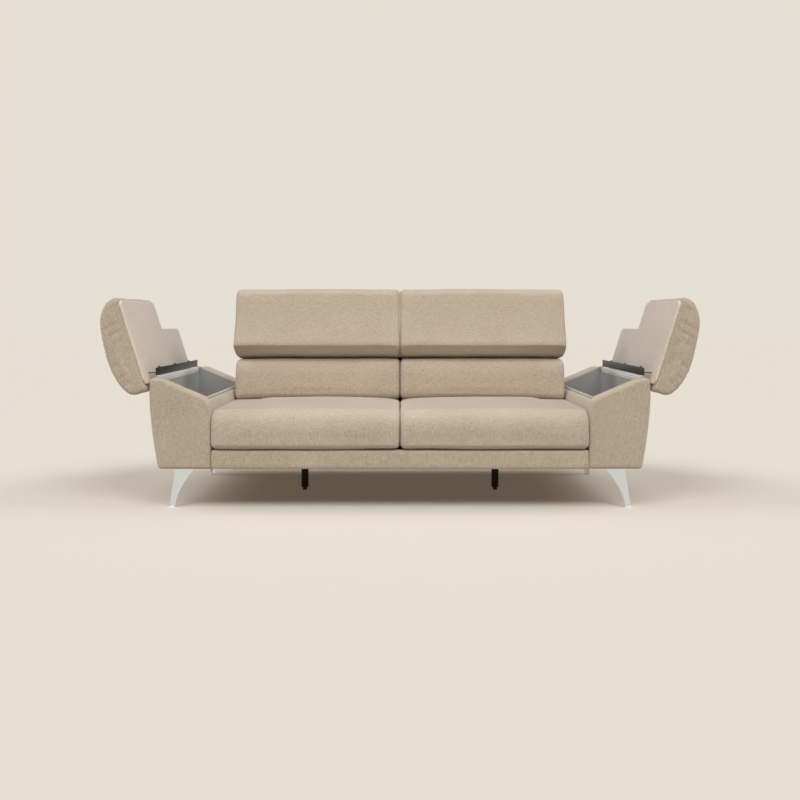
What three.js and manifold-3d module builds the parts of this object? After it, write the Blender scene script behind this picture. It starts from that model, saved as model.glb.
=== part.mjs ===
// Two-seat upholstered sofa. Each arm is a storage bin under a padded lid that swings open
// outward, and each headrest folds back on a pair of ratchet hinges.
// Millimetres, +Z up, front towards -Y, +X to the right of someone who faces the sofa.
// Depths are measured back from the arms' front faces, heights up from the floor, and
// each arm is drawn as the right one, outward from its inner face.
import * as THREE from 'three';
import { mergeVertices } from 'three/addons/utils/BufferGeometryUtils.js';
import Module from 'manifold-3d';

const wasm = await Module();
wasm.setup();

// Clearances
const seatGap = 0.3;             // between two faces that touch
const softGap = 1.5;             // round a cushion
const runGap = 0.6;              // beside a plate that turns
const cutOverrun = 6;            // how far a cut runs past its piece
const weldReach = 0.001;         // corners closer than this are one corner

// Overall sizes
const insideWidth = 1580;        // between the two arms
const sofaDepth = 1010;
const baseHeight = 169.5;        // floor to the underside
const boardThick = 18;

// Arm section
const armWidth = 258;            // inner face to the shoulder
const armBulge = 8;              // how far the outer face's curve reaches past the shoulder
const armTaper = 33;             // how far the outer face draws in at its foot
const armInnerHeight = 471.5;    // where the top's slope starts
const armInnerRun = 32;          // width of the rounded inner top edge
const armInnerDrop = 66.5;       // height of the rounded inner top edge
const armSlopeAngle = 23.1;
const shoulderRun = 48;          // width of the rounded outer top edge
const shoulderRise = 12.6;
const shoulderDrop = 17.4;
const bellyDrop = 130;           // shoulder down to the outer curve's pull
const armFootRound = 18;
const armEdgeRound = 12;         // front and rear edges of the upholstery
const armFrontThick = 40;
const armRearThick = 157;
const armOuterThick = 26;        // storage bin's cavity to the shoulder

// Storage bin
const binInset = 30;             // inner face of the arm to the bin's cavity
const binWall = 9;
const binFloorThick = 9;
const binRimDrop = 3;            // rim below the arm's top
const binFootDraw = 27;          // how far the outer wall draws in at its foot
const binFlareHeight = 190;      // foot to where the outer wall stands upright

// Lid hinge
const pivotInset = 4;            // pivot outward of the bin's cavity
const pivotDrop = 22.4;          // pivot below the arm's sloped top
const lidClearance = 5.1;        // between the arm's top and the closed lid
const lidOpenAngle = 130.5;
const hingeRailWidth = 12;
const hingeRailDrop = 6;         // rail below the pivot
const hingeRailRise = 21.9;      // rail above the pivot
const hingeRailEnd = 14;         // bin's end wall to the rail
const hingeRidgeWidth = 1.2;
const hingeRidgeHeight = 4;
const hingePinRadius = 2.5;
const hingePinReach = 11;        // past the rail's end
const hingeBore = 3.1;
const hingeBoss = 5.5;
const leafThick = 2.5;
const leafInset = 5;             // leaf outward of the pivot
const leafLow = 24.2;            // leaf's lower edge above the pivot
const leafHeight = 33;
const gussetThick = 4;
const gussetCount = 3;
const gussetInset = 4;           // bin's end wall to the leaf
const gussetNeck = 1.8;          // neck's inner edge at the boss, inward of the pivot
const earHeight = 24;
const earInset = 190;            // leaf's front end to the first ear
const stayRadius = 2;            // rod from the leaf's front end out to the lid
const stayRise = 12;             // rod above the leaf's lower edge
const footPlateWidth = 30;
const footPlateLength = 34;
const footPlateStart = 32;       // pivot to the foot plate, along the lid
const footPlateThick = 2.5;

// Arm lid
const lidReach = 366;            // pivot to the inner tip of the underside
const lidLoft = 135.6;           // underside to the crown
const lidBoardThick = 12;
const lidBoardInset = 5;
const lidFrontProud = 20;        // lid in front of the arm
const lidStepDepth = 500;        // where the lid narrows beside the back cushions
const lidStepRound = 12;
const lidBackDepth = 815;
const lidEdgeRound = 16;
const lidOutlineSteps = 22;
const lidOutlineShares = [
  [0, 0], [-0.06, 0.12], [-0.075, 0.43], [-0.05, 0.62], [0.066, 0.82], [0.29, 0.985],
  [0.56, 0.966], [0.81, 0.86], [0.95, 0.7], [1.012, 0.546], [1.045, 0.387], [1.047, 0.137], [1, 0],
];
const lidRearOutlineShares = [
  [0, 0], [-0.06, 0.12], [-0.075, 0.43], [-0.05, 0.62], [0.066, 0.82], [0.2, 0.94],
  [0.3, 0.965], [0.4, 0.93], [0.46, 0.84], [0.5, 0.68], [0.545, 0.4], [0.604, 0.15], [0.654, 0],
];

// Seat frame
const railHeight = 81;           // front rail, underside to top
const railThick = 40;
const railEdgeRound = 10;
const frameLift = 6.5;           // timber above the underside
const frameHeight = 64;
const frameThick = 32;
const middleRailDepth = 440;
const middleRailWidth = 56;
const middleRailHeight = 40;
const dustCoverThick = 2;

// Sinuous seat springs
const springCount = 4;
const springBendCount = 12;
const springWireRadius = 2.2;
const springWave = 24;
const springBarWidth = 14;
const springStepsPerBend = 4;

// Seat cushions
const seatFrontProud = 14;
const seatThick = 157.5;         // at its edges
const seatCrown = 20.5;
const seatEdgeRound = 26;
const seatFrontCrown = 4;
const seatDrawIn = 6;

// Back
const backBoardDepth = 705;      // front face of the board behind the back cushions
const backBoardHeight = 590;
const backTopHeight = 600;
const backTopFront = 748;
const backPanelThick = 22;
const backEdgeRound = 45;

// Lumbar cushions
const lumbarDepth = 535;         // front face
const lumbarHeight = 178;
const lumbarLift = 17.5;         // above the seat cushion's edge
const lumbarCrown = 4;
const lumbarFrontCrown = 12;
const lumbarEdgeRound = 30;
const lumbarDrawIn = 4;
const lumbarSideGap = 8;         // room for the turning lid beside the cushion

// Headrests
const headPivotDepth = 712;
const headPivotHeight = 640;
const headLeanAngle = 18.5;
const headTall = 268;            // pivot to the crown, along the lean
const headDeep = 200;            // pivot to the front face
const headBoardThick = 14;
const headBoardLow = 40;
const headEdgeRound = 26;
const headSideGap = 3;           // outer end past the arm's inner face
const headBoardHigh = 236;
const headBoardShare = 0.41;     // board's front face in front of the pivot
const headCrownShare = 0.06;     // how much the front face falls away towards its ends
const headOutlineSteps = 20;
const headOutlineShares = [
  [-0.1, 0.4], [-0.225, 0.46], [-0.26, 0.6], [-0.235, 0.82], [-0.155, 0.985], [0.11, 0.985],
  [0.485, 0.965], [0.84, 0.975], [0.95, 0.915], [0.993, 0.75], [0.978, 0.55], [0.9, 0.4],
];

// Headrest ratchets
const ratchetRadius = 22;
const toothHeight = 3;
const toothCount = 11;
const toothArcAngle = 200;
const toothStartAngle = -60;
const ratchetThick = 5;
const ratchetPinRadius = 5;
const ratchetInset = 150;        // from each end of the headrest
const ratchetFootWidth = 40;
const ratchetFootHeight = 78;
const ratchetFootThick = 4;
const ratchetWebWidth = 22;
const armPlateWidth = 26;
const armFlangeWidth = 30;
const armFlangeTop = 70;

// Legs and centre posts
const legTopWidth = 86;
const legFootWidth = 25;
const legBladeThick = 9;
const legLean = 25;              // how far the foot stands out from the top
const legPlateWidth = 104;
const legPlateThick = 5;
const legPlateLip = 3;           // plate outside the blades
const legSoleThick = 3;
const legSoleLip = 1;
const legPlateShares = [[0, 0], [1, 0], [1, 0.42], [0.72, 0.72], [0.42, 1], [0, 1]];
const legCornerInset = 62;       // arm's foot corner to the leg's top
const legFrontDepth = 60;
const legRearDepth = 905;
const legTaperPower = 2.1;
const legStationCount = 7;
const postInset = 345;           // arm's inner face to the post
const postRadius = 16.5;
const postPlateWidth = 70;
const postPlateThick = 4;
const adjusterHeight = 12;
const adjusterRadius = 10;
const studRadius = 5;
const studBore = 6;
const studLength = 26;

// Places worked out from the sizes above
const halfInside = insideWidth / 2;
const slope = THREE.MathUtils.degToRad(armSlopeAngle);
const slopeEnd = armWidth - shoulderRun;
const slopeHeight = (reach) => armInnerHeight + (reach - armInnerRun) * Math.tan(slope);
const shoulderTop = slopeHeight(slopeEnd);
const shoulderHeight = shoulderTop - shoulderDrop;
const binOuter = armWidth - armOuterThick;
const binFront = armFrontThick + seatGap;
const binBack = sofaDepth - armRearThick - seatGap;
const binBottom = baseHeight + boardThick + seatGap;
const pivotReach = binOuter + pivotInset;
const pivotHeight = slopeHeight(pivotReach) - pivotDrop / Math.cos(slope);
const lidUnder = pivotDrop + lidClearance;
const outerWallStart = pivotReach + hingeRailWidth - pivotInset;
const railTop = baseHeight + railHeight;
const frameBottom = baseHeight + frameLift;
const frameTop = frameBottom + frameHeight;
const seatBottom = railTop + seatGap;
const lumbarBottom = seatBottom + seatThick + lumbarLift;
const seatBack = backBoardDepth - softGap;

const sides = [
  { name: 'right', sign: 1 },
  { name: 'left', sign: -1 },
];

// Materials
const paint = (color, roughness, metalness = 0) =>
  new THREE.MeshStandardMaterial({ color, roughness, metalness });
const fabric = paint(0xbfae97, 0.95);
const liningFabric = paint(0xb5a58f, 0.95);
const greyLining = paint(0x83868a, 0.8);
const timber = paint(0xc4a77c, 0.75);
const satinAluminium = paint(0xd8dadb, 0.35, 1);
const brightSteel = paint(0xd4d8da, 0.22, 1);
const blackSteel = paint(0x2a2a2b, 0.5, 0.6);
const blackPlastic = paint(0x1d1d1e, 0.6);
const springSteel = paint(0x8c8f92, 0.4, 1);
const blackFelt = paint(0x2b2b2b, 0.95);

// A closed geometry as a solid for joining and cutting
function solid(geometry) {
  const bare = geometry.clone();
  bare.deleteAttribute('normal');
  bare.deleteAttribute('uv');
  const welded = mergeVertices(bare, weldReach);
  return new wasm.Manifold(new wasm.Mesh({
    numProp: 3,
    vertProperties: new Float32Array(welded.attributes.position.array),
    triVerts: new Uint32Array(welded.index.array),
  }));
}

function geometryOf(body) {
  const mesh = body.getMesh();
  const geometry = new THREE.BufferGeometry();
  geometry.setAttribute('position', new THREE.BufferAttribute(mesh.vertProperties, 3));
  geometry.setIndex(new THREE.BufferAttribute(mesh.triVerts, 1));
  return geometry;
}

const join = (...geometries) =>
  geometryOf(geometries.map(solid).reduce((whole, next) => whole.add(next)));
const cut = (geometry, ...cutters) =>
  geometryOf(cutters.map(solid).reduce((whole, next) => whole.subtract(next), solid(geometry)));
const common = (geometry, other) => geometryOf(solid(geometry).intersect(solid(other)));

// Turns every face over, which a mirrored skin needs
function flip(geometry) {
  const index = geometry.index.array;
  for (let i = 0; i < index.length; i += 3) {
    [index[i], index[i + 1]] = [index[i + 1], index[i]];
  }
  return geometry;
}

function volume(geometry) {
  const [a, b, c] = [new THREE.Vector3(), new THREE.Vector3(), new THREE.Vector3()];
  const { index, attributes: { position } } = geometry;
  let sum = 0;
  for (let i = 0; i < index.count; i += 3) {
    a.fromBufferAttribute(position, index.getX(i));
    b.fromBufferAttribute(position, index.getX(i + 1));
    c.fromBufferAttribute(position, index.getX(i + 2));
    sum += a.dot(b.cross(c)) / 6;
  }
  return sum;
}

// The same piece for the sofa's other side
const sided = (geometry, sign) => {
  if (sign > 0) return geometry;
  const twin = geometry.clone();
  if (!twin.index) twin.setIndex([...Array(twin.attributes.position.count).keys()]);
  return flip(twin.scale(sign, 1, 1));
};

function block(x0, x1, y0, y1, z0, z1) {
  return new THREE.BoxGeometry(x1 - x0, y1 - y0, z1 - z0)
    .translate((x0 + x1) / 2, (y0 + y1) / 2, (z0 + z1) / 2);
}

const xAxis = new THREE.Vector3(1, 0, 0);
const yAxis = new THREE.Vector3(0, 1, 0);
const zAxis = new THREE.Vector3(0, 0, 1);

// An outline in X and Z, run back from y0 to y1
function extrudeBack(shape, y0, y1, edge = 0) {
  const bevel = { bevelEnabled: edge > 0, bevelThickness: edge, bevelSize: edge, bevelOffset: -edge };
  const depth = y1 - y0 - 2 * edge;
  return new THREE.ExtrudeGeometry(shape, { depth, curveSegments: 5, bevelSegments: 2, ...bevel })
    .applyMatrix4(new THREE.Matrix4().makeBasis(xAxis, zAxis, yAxis.clone().negate()))
    .translate(0, y1 - edge, 0);
}

// An outline in Y and Z, run across from x0 to x1
function extrudeAcross(shape, x0, x1) {
  return new THREE.ExtrudeGeometry(shape, { depth: x1 - x0, curveSegments: 5, bevelEnabled: false })
    .applyMatrix4(new THREE.Matrix4().makeBasis(yAxis, zAxis, xAxis))
    .translate(x0, 0, 0);
}

const rod = (radius, length, sides = 12) => new THREE.CylinderGeometry(radius, radius, length, sides);

// A closed skin through rings with the same number of points
function loft(rings) {
  const count = rings[0].length;
  const points = rings.flat();
  const faces = [];
  for (let i = 0; i + 1 < rings.length; i += 1) {
    for (let k = 0; k < count; k += 1) {
      const next = (k + 1) % count;
      const [a, b] = [i * count + k, i * count + next];
      faces.push(a, b, a + count, b, b + count, a + count);
    }
  }
  for (const [ring, first] of [[rings[0], 0], [rings.at(-1), (rings.length - 1) * count]]) {
    const middle = ring.reduce((sum, point) => sum.add(point), new THREE.Vector3());
    points.push(middle.divideScalar(count));
    const centre = points.length - 1;
    for (let k = 0; k < count; k += 1) {
      const [a, b] = [first + k, first + (k + 1) % count];
      faces.push(...(first ? [centre, a, b] : [centre, b, a]));
    }
  }
  const geometry = new THREE.BufferGeometry().setFromPoints(points);
  geometry.setIndex(faces);
  return volume(geometry) < 0 ? flip(geometry) : geometry;
}

// How far an edge rounded to this radius has fallen away at this distance from the end
function roundedEdge(distance, radius) {
  const rest = Math.max(0, radius - distance);
  return radius - Math.sqrt(radius * radius - rest * rest);
}

// Lines between which a padded piece is cut: the rounded edge, then even steps
function padLines(low, high, edge, steps) {
  const lines = [low];
  for (let i = 0; i <= steps; i += 1) lines.push(low + edge + (high - low - 2 * edge) * (i / steps));
  return [...lines, high];
}

// A cushion: a block with rounded edges, a crowned top and front, and sides drawn in
function cushion({ x, y, z, edge, crown, frontCrown, drawIn, steps }) {
  const spans = [x, y, z];
  const lines = spans.map(([low, high], i) => padLines(low, high, edge, steps[i]));
  const grid = new THREE.BoxGeometry(1, 1, 1, ...lines.map((line) => line.length - 1));
  grid.deleteAttribute('normal');
  grid.deleteAttribute('uv');
  const geometry = mergeVertices(grid);
  const { position } = geometry.attributes;
  for (let i = 0; i < position.count; i += 1) {
    const place = spans.map(([low, high], axis) => {
      const line = lines[axis];
      const step = Math.round((position.getComponent(i, axis) + 0.5) * (line.length - 1));
      return line[step];
    });
    const core = place.map((value, axis) =>
      Math.min(Math.max(value, spans[axis][0] + edge), spans[axis][1] - edge));
    const out = new THREE.Vector3(...place).sub(new THREE.Vector3(...core)).setLength(edge);
    const point = new THREE.Vector3(...core).add(out);
    const [s, t, r] = spans.map(([low, high], axis) =>
      (2 * point.getComponent(axis) - low - high) / (high - low));
    const lift = Math.max(0, r) * crown * (1 - s ** 4) * (1 - t * t);
    const pinch = drawIn * (1 - r * r);
    point.x -= Math.sign(s) * pinch * Math.abs(s) * (1 - t * t);
    point.y -= Math.sign(t) * pinch * Math.abs(t) * (1 - s * s);
    point.y -= Math.max(0, -t) * frontCrown * (1 - s * s) * (1 - r * r);
    point.z += lift;
    position.setXYZ(i, point.x, point.y, point.z);
  }
  return geometry;
}

const sofa = new THREE.Group();

function add(parent, name, geometry, material) {
  const mesh = new THREE.Mesh(geometry, material);
  mesh.name = name;
  parent.add(mesh);
}

// Arms
function armOutline() {
  const shape = new THREE.Shape();
  const bottom = baseHeight;
  shape.moveTo(0, bottom);
  shape.lineTo(armWidth - armTaper - armFootRound, bottom);
  shape.quadraticCurveTo(armWidth - armTaper, bottom, armWidth - armTaper, bottom + armFootRound);
  shape.quadraticCurveTo(armWidth + armBulge, shoulderHeight - bellyDrop, armWidth, shoulderHeight);
  shape.quadraticCurveTo(armWidth, shoulderTop + shoulderRise, slopeEnd, shoulderTop);
  shape.lineTo(armInnerRun, armInnerHeight);
  shape.quadraticCurveTo(0, armInnerHeight - armInnerRun * Math.tan(slope), 0, armInnerHeight - armInnerDrop);
  return shape;
}

function armSpan(x0, x1, y0, y1, z0) {
  return block(x0, x1, y0, y1, z0, shoulderTop + shoulderRise + cutOverrun);
}

// The bin's section, its outer side drawn in at the foot as the arm's outer face is
function binSection(inner, outer, bottom, rise) {
  const drawnIn = binFootDraw * (1 - (bottom - binBottom) / binFlareHeight);
  const shape = new THREE.Shape();
  shape.moveTo(inner, bottom);
  shape.lineTo(outer - drawnIn, bottom);
  shape.lineTo(outer, binBottom + binFlareHeight);
  shape.lineTo(outer, slopeHeight(outer) + rise);
  shape.lineTo(inner, slopeHeight(inner) + rise);
  return shape;
}

// The bin: a board box with its rim just under the arm's slope and a low outer wall
function storageBin() {
  const wallOut = outerWallStart - seatGap;
  const rim = binSection(binInset - binWall, wallOut, binBottom, -binRimDrop);
  const outside = extrudeBack(rim, binFront, binBack);
  const top = shoulderTop + shoulderRise + cutOverrun;
  const inside = binSection(binInset, binOuter, binBottom + binFloorThick, cutOverrun);
  const cavity = extrudeBack(inside, binFront + binWall, binBack - binWall);
  const outerTop = pivotHeight - hingeRailDrop - seatGap;
  const railSlot = block(binOuter - cutOverrun, wallOut + cutOverrun, binFront + binWall,
    binBack - binWall, outerTop, top);
  return cut(outside, cavity, railSlot);
}

// The lid and everything on it are drawn in the lid's frame: X outward along the arm's slope,
// Z square to it, the pivot at the origin. Hinge pieces are easier to draw as they stand when
// the lid is open, upright beside the pivot, and are then turned into the lid's frame.
const openTurn = THREE.MathUtils.degToRad(lidOpenAngle) - slope;
const openLean = openTurn - Math.PI / 2;
const cavityFront = binFront + binWall;
const cavityBack = binBack - binWall;
const railFront = cavityFront + hingeRailEnd;
const railBack = cavityBack - hingeRailEnd;
const gussetFront = cavityFront + gussetInset;
const gussetBack = cavityBack - gussetInset;

// The hinge rail: an aluminium extrusion with a ridge along its face and a pin at each end
function hingeRail() {
  const face = binOuter - pivotReach;
  const bar = block(face, face + hingeRailWidth - seatGap, railFront, railBack,
    -hingeRailDrop, hingeRailRise);
  const middle = (hingeRailRise - hingeRailDrop) / 2;
  const ridge = block(face - hingeRidgeWidth, face + hingeRidgeWidth, railFront, railBack,
    middle - hingeRidgeHeight / 2, middle + hingeRidgeHeight / 2);
  const pin = rod(hingePinRadius, railBack - railFront + 2 * hingePinReach)
    .translate(0, (railFront + railBack) / 2, 0);
  return join(bar, ridge, pin);
}

// How far out the open lid's foot plates lie at a height above the pivot
const underReach = (height) =>
  (lidUnder - seatGap - footPlateThick / 2 + height * Math.sin(openLean)) / Math.cos(openLean);

// An ear of the leaf, out to the lid's underside
function ear(front) {
  const low = leafLow + leafThick;
  const shape = new THREE.Shape();
  shape.moveTo(leafInset, low);
  shape.lineTo(underReach(low), low);
  shape.lineTo(underReach(low + earHeight), low + earHeight);
  shape.lineTo(leafInset, low + earHeight);
  return extrudeBack(shape, front, front + gussetThick);
}

// A knuckle of the leaf: a neck and a boss that turns on the rail's pin
function knuckle(front) {
  const neck = leafInset + leafThick;
  const low = leafLow + leafThick;
  const neckAngle = Math.acos(-gussetNeck / hingeBoss);
  const shape = new THREE.Shape();
  shape.moveTo(leafInset, low);
  shape.absarc(0, 0, hingeBoss, neckAngle, 2 * Math.PI, false);
  shape.lineTo(neck - runGap, hingeBoss);
  shape.lineTo(neck, low);
  const bore = rod(hingeBore, gussetThick + 2 * cutOverrun).translate(0, front, 0);
  return cut(extrudeBack(shape, front, front + gussetThick), bore);
}

function leaf() {
  const plate = block(leafInset, leafInset + leafThick, gussetFront, gussetBack,
    leafLow, leafLow + leafHeight);
  const first = gussetFront + earInset;
  const spread = (gussetBack - footPlateWidth - first) / (gussetCount - 1);
  const fronts = [...Array(gussetCount).keys()].map((i) => first + i * spread);
  const knuckles = [gussetFront, gussetBack - gussetThick].map(knuckle);
  const stayHeight = leafLow + stayRise;
  const stayLength = underReach(stayHeight - stayRadius) - leafInset;
  const stay = rod(stayRadius, stayLength).rotateZ(Math.PI / 2)
    .translate(leafInset + stayLength / 2, gussetFront + gussetThick / 2, stayHeight);
  const footTop = lidUnder - seatGap;
  const feet = fronts.map((front) => {
    const middle = front + gussetThick / 2;
    return block(-footPlateStart - footPlateLength, -footPlateStart,
      middle - footPlateWidth / 2, middle + footPlateWidth / 2, footTop - footPlateThick, footTop);
  });
  const upright = join(plate, stay, ...knuckles, ...fronts.map(ear)).rotateY(-openTurn);
  return join(upright, ...feet);
}

// Points of a soft outline, from shares of two sizes, smoothed between them
function softOutline(shares, length, height, count) {
  const spline = new THREE.SplineCurve(shares.map(([a, b]) => new THREE.Vector2(a * length, b * height)));
  return spline.getPoints(count);
}

// Rings along a padded piece: its outline drawn in towards the middle at each rounded end
function softRings(outlineAt, low, high, edge, stations, place) {
  return stations.map((station) => {
    const outline = outlineAt(station);
    const inset = roundedEdge(Math.min(station - low, high - station), edge);
    const middle = outline.reduce((sum, point) => sum.add(point), new THREE.Vector2())
      .divideScalar(outline.length);
    return outline.map((point) => {
      const reach = point.distanceTo(middle);
      const drawn = middle.clone().lerp(point, Math.max(reach - inset, reach / 2) / reach);
      return place(station, drawn);
    });
  });
}

function endStations(low, high, edge) {
  const near = [0, edge / 5, edge / 2, edge];
  return [near.map((step) => low + step), near.map((step) => high - step).reverse()];
}

const lidFront = -lidFrontProud;

function lidCushion() {
  const wide = softOutline(lidOutlineShares, lidReach, lidLoft, lidOutlineSteps);
  const narrow = softOutline(lidRearOutlineShares, lidReach, lidLoft, lidOutlineSteps);
  const [start, end] = endStations(lidFront, lidBackDepth, lidEdgeRound);
  const stations = [...start, lidStepDepth - lidStepRound, lidStepDepth,
    lidStepDepth + lidStepRound, ...end];
  const outlineAt = (station) => {
    const share = THREE.MathUtils.clamp((station - lidStepDepth + lidStepRound) / (2 * lidStepRound), 0, 1);
    return wide.map((point, i) => point.clone().lerp(narrow[i], share));
  };
  const rings = softRings(outlineAt, lidFront, lidBackDepth, lidEdgeRound, stations,
    (y, point) => new THREE.Vector3(-point.x, y, lidUnder + point.y));
  const top = lidUnder + lidBoardThick + seatGap;
  const under = block(-2 * lidReach, lidReach, lidFront - cutOverrun, lidBackDepth + cutOverrun,
    -lidUnder, top);
  return cut(loft(rings), under);
}

function lidBoard() {
  const [near, bottom, top] = [-lidBoardInset, lidUnder, lidUnder + lidBoardThick];
  const rearReach = lidReach * lidRearOutlineShares.at(-1)[0];
  const front = block(-lidReach + lidBoardInset, near, lidFront + lidBoardInset,
    lidStepDepth - lidBoardInset, bottom, top);
  const rear = block(-rearReach + lidBoardInset, near, lidStepDepth - lidStepRound - lidBoardInset,
    lidBackDepth - lidBoardInset, bottom, top);
  return join(front, rear);
}

// Where the arm's outer panel lies: all that is outside the bin's outer wall
function outerPanelZone(whole, bottom, top) {
  const shape = new THREE.Shape();
  shape.moveTo(outerWallStart - binFootDraw, bottom);
  shape.lineTo(whole, bottom);
  shape.lineTo(whole, top);
  shape.lineTo(outerWallStart, top);
  shape.lineTo(outerWallStart, binBottom + binFlareHeight);
  return extrudeBack(shape, binFront, binBack);
}

function buildArm({ name, sign }) {
  const upholstery = extrudeBack(armOutline(), 0, sofaDepth, armEdgeRound);
  const bottom = baseHeight + boardThick + seatGap;
  const top = shoulderTop + shoulderRise + cutOverrun;
  const whole = armWidth + armBulge + cutOverrun;
  const zones = {
    arm_front: block(-cutOverrun, whole, -cutOverrun, armFrontThick, bottom, top),
    arm_rear: block(-cutOverrun, whole, sofaDepth - armRearThick, sofaDepth + cutOverrun, bottom, top),
    arm_inner: block(-cutOverrun, binInset - binWall - seatGap, binFront, binBack, bottom, top),
    arm_outer: outerPanelZone(whole, bottom, top),
    arm_base: block(-cutOverrun, whole, -cutOverrun, sofaDepth + cutOverrun, 0, bottom - seatGap),
  };
  const arm = new THREE.Group();
  arm.position.x = sign * halfInside;
  for (const [part, zone] of Object.entries(zones)) {
    add(arm, `${part}_${name}`, sided(common(upholstery, zone), sign), fabric);
  }
  add(arm, `storage_bin_${name}`, sided(storageBin(), sign), greyLining);

  const hinge = new THREE.Group();
  hinge.position.set(sign * pivotReach, 0, pivotHeight);
  add(hinge, `hinge_rail_${name}`, sided(hingeRail(), sign), satinAluminium);
  const lid = new THREE.Group();
  lid.rotation.y = sign * openTurn;
  add(lid, `lid_leaf_${name}`, sided(leaf(), sign), blackSteel);
  add(lid, `lid_board_${name}`, sided(lidBoard(), sign), liningFabric);
  add(lid, `lid_cushion_${name}`, sided(lidCushion(), sign), fabric);
  hinge.add(lid);
  arm.add(hinge);
  sofa.add(arm);
}

// Seat frame: an upholstered front rail and six timbers, with a dust cover under them
function frontRail() {
  const [low, high] = [baseHeight, railTop];
  const front = runGap;
  const back = railThick;
  const shape = new THREE.Shape();
  shape.moveTo(back, low);
  shape.lineTo(back, high);
  shape.lineTo(front + railEdgeRound, high);
  shape.quadraticCurveTo(front, high, front, high - railEdgeRound);
  shape.lineTo(front, low + railEdgeRound);
  shape.quadraticCurveTo(front, low, front + railEdgeRound, low);
  return extrudeAcross(shape, -halfInside + seatGap, halfInside - seatGap);
}

const frameReach = halfInside - seatGap;
const sideRailInner = frameReach - frameThick;
const crossReach = sideRailInner - seatGap;
const frontTimber = railThick + seatGap;
const frameBack = sofaDepth - backPanelThick - seatGap;
const rearTimber = backBoardDepth + boardThick - frameThick;

function buildSeatFrame() {
  add(sofa, 'front_rail', frontRail(), fabric);
  const timberAt = (label, x0, x1, y0, y1, height) =>
    add(sofa, label, block(x0, x1, y0, y1, frameBottom, frameBottom + height), timber);
  timberAt('seat_rail_front', -frameReach, frameReach, frontTimber, frontTimber + frameThick, frameHeight);
  const sideFront = frontTimber + frameThick + seatGap;
  timberAt('seat_rail_right', sideRailInner, frameReach, sideFront, frameBack, frameHeight);
  timberAt('seat_rail_left', -frameReach, -sideRailInner, sideFront, frameBack, frameHeight);
  timberAt('seat_rail_middle', -crossReach, crossReach, middleRailDepth,
    middleRailDepth + middleRailWidth, middleRailHeight);
  timberAt('seat_rail_rear', -crossReach, crossReach, rearTimber, rearTimber + frameThick, frameHeight);
  timberAt('back_rail_lower', -crossReach, crossReach, frameBack - frameThick, frameBack, frameHeight);

  const coverTop = frameBottom - seatGap;
  const cover = block(-frameReach, frameReach, frontTimber, frameBack, coverTop - dustCoverThick, coverTop);
  const holes = sides.map(({ sign }) => postPlateBlock(sign, softGap, cutOverrun));
  add(sofa, 'dust_cover', cut(cover, ...holes), blackFelt);
}

// A seat's springs: wires bent to and fro along the seat, held by a bar at each end
function springUnit(x0, x1) {
  const barBottom = frameTop + seatGap;
  const wireHeight = seatBottom - seatGap - springWireRadius;
  const barTop = wireHeight + springWireRadius / 2;
  const [front, back] = [frontTimber, rearTimber + frameThick - boardThick - springWireRadius];
  const bars = [[front, front + springBarWidth], [back - springBarWidth, back]]
    .map(([y0, y1]) => block(x0, x1, y0, y1, barBottom, barTop));
  const section = new THREE.Shape();
  const corners = [[1, 0], [0, 1], [-1, 0], [0, -1]];
  corners.forEach(([a, b], i) => {
    const move = i ? 'lineTo' : 'moveTo';
    section[move](a * springWireRadius, b * springWireRadius);
  });
  const pitch = (x1 - x0) / springCount;
  const steps = springBendCount * springStepsPerBend;
  const [start, end] = [front + springBarWidth / 2, back - springBarWidth / 2];
  const wires = [...Array(springCount).keys()].map((i) => {
    const middle = x0 + pitch * (i + 1 / 2);
    const points = [...Array(steps + 1).keys()].map((k) => new THREE.Vector3(
      middle + springWave * Math.sin(Math.PI * springBendCount * (k / steps)),
      start + (end - start) * (k / steps),
      wireHeight,
    ));
    const path = new THREE.CatmullRomCurve3(points);
    return new THREE.ExtrudeGeometry(section, { steps, extrudePath: path, bevelEnabled: false });
  });
  return join(...bars, ...wires);
}

function buildSeats() {
  for (const { name, sign } of sides) {
    const [inner, outer] = [softGap / 2, halfInside - softGap];
    const x = sign > 0 ? [inner, outer] : [-outer, -inner];
    add(sofa, `seat_springs_${name}`, springUnit(...x), springSteel);
    add(sofa, `seat_cushion_${name}`, cushion({
      x, y: [-seatFrontProud, seatBack], z: [seatBottom, seatBottom + seatThick],
      edge: seatEdgeRound, crown: seatCrown, frontCrown: seatFrontCrown, drawIn: seatDrawIn,
      steps: [9, 8, 2],
    }), fabric);
    const lumbarOuter = halfInside - lumbarSideGap;
    add(sofa, `lumbar_cushion_${name}`, cushion({
      x: sign > 0 ? [inner, lumbarOuter] : [-lumbarOuter, -inner],
      y: [lumbarDepth, backBoardDepth - seatGap], z: [lumbarBottom, lumbarBottom + lumbarHeight],
      edge: lumbarEdgeRound, crown: lumbarCrown, frontCrown: lumbarFrontCrown, drawIn: lumbarDrawIn,
      steps: [9, 2, 4],
    }), fabric);
  }
}

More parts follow.
